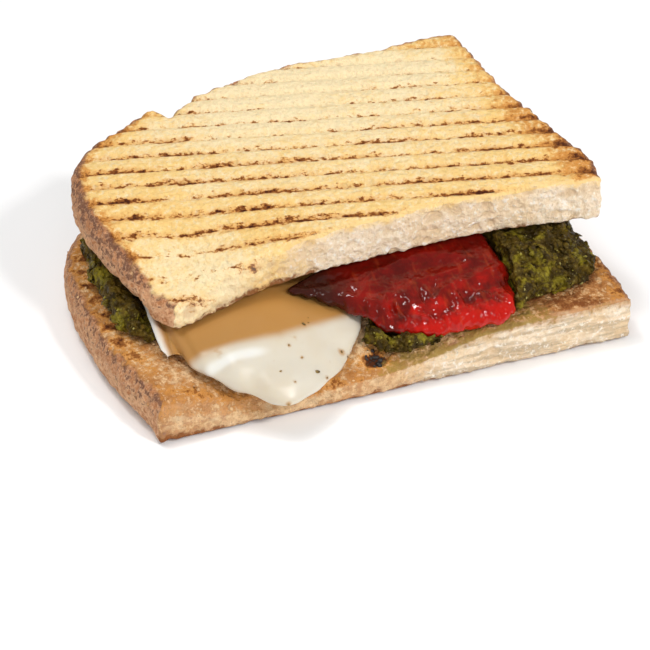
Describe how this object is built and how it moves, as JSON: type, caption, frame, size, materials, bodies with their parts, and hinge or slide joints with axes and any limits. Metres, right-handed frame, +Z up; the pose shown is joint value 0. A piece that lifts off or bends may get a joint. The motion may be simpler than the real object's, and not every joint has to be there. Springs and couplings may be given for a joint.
{
  "type": "grilled cheese sandwich half",
  "caption": "Half of a ribbed-grill toasted sandwich lying flat, cut side forward, with melted mozzarella, semi-dried tomato and green herb pesto between the slices.",
  "frame": {"origin": "centre of the bounding box, on the board that the lower slice lies on", "axes": "+X along the knife cut, from the domed crust towards the flat crust; +Y from the knife cut towards the back of the loaf; +Z up"},
  "size_m": [0.1466, 0.117, 0.0455],
  "materials": {
    "crust_bread": "matte toasted bread with brown crust and pale crumb",
    "grilled_bread": "matte grilled bread, cream with brown rib marks",
    "mozzarella": "smooth, moist, off-white melted cheese",
    "tomato": "wrinkled, oily, deep red",
    "pesto": "coarse, oily, olive green"
  },
  "bodies": {
    "root": {"bread_bottom": "crust_bread", "pesto": "pesto", "mozzarella": "mozzarella", "tomato": "tomato", "bread_top": "grilled_bread"}
  },
  "joints": []
}
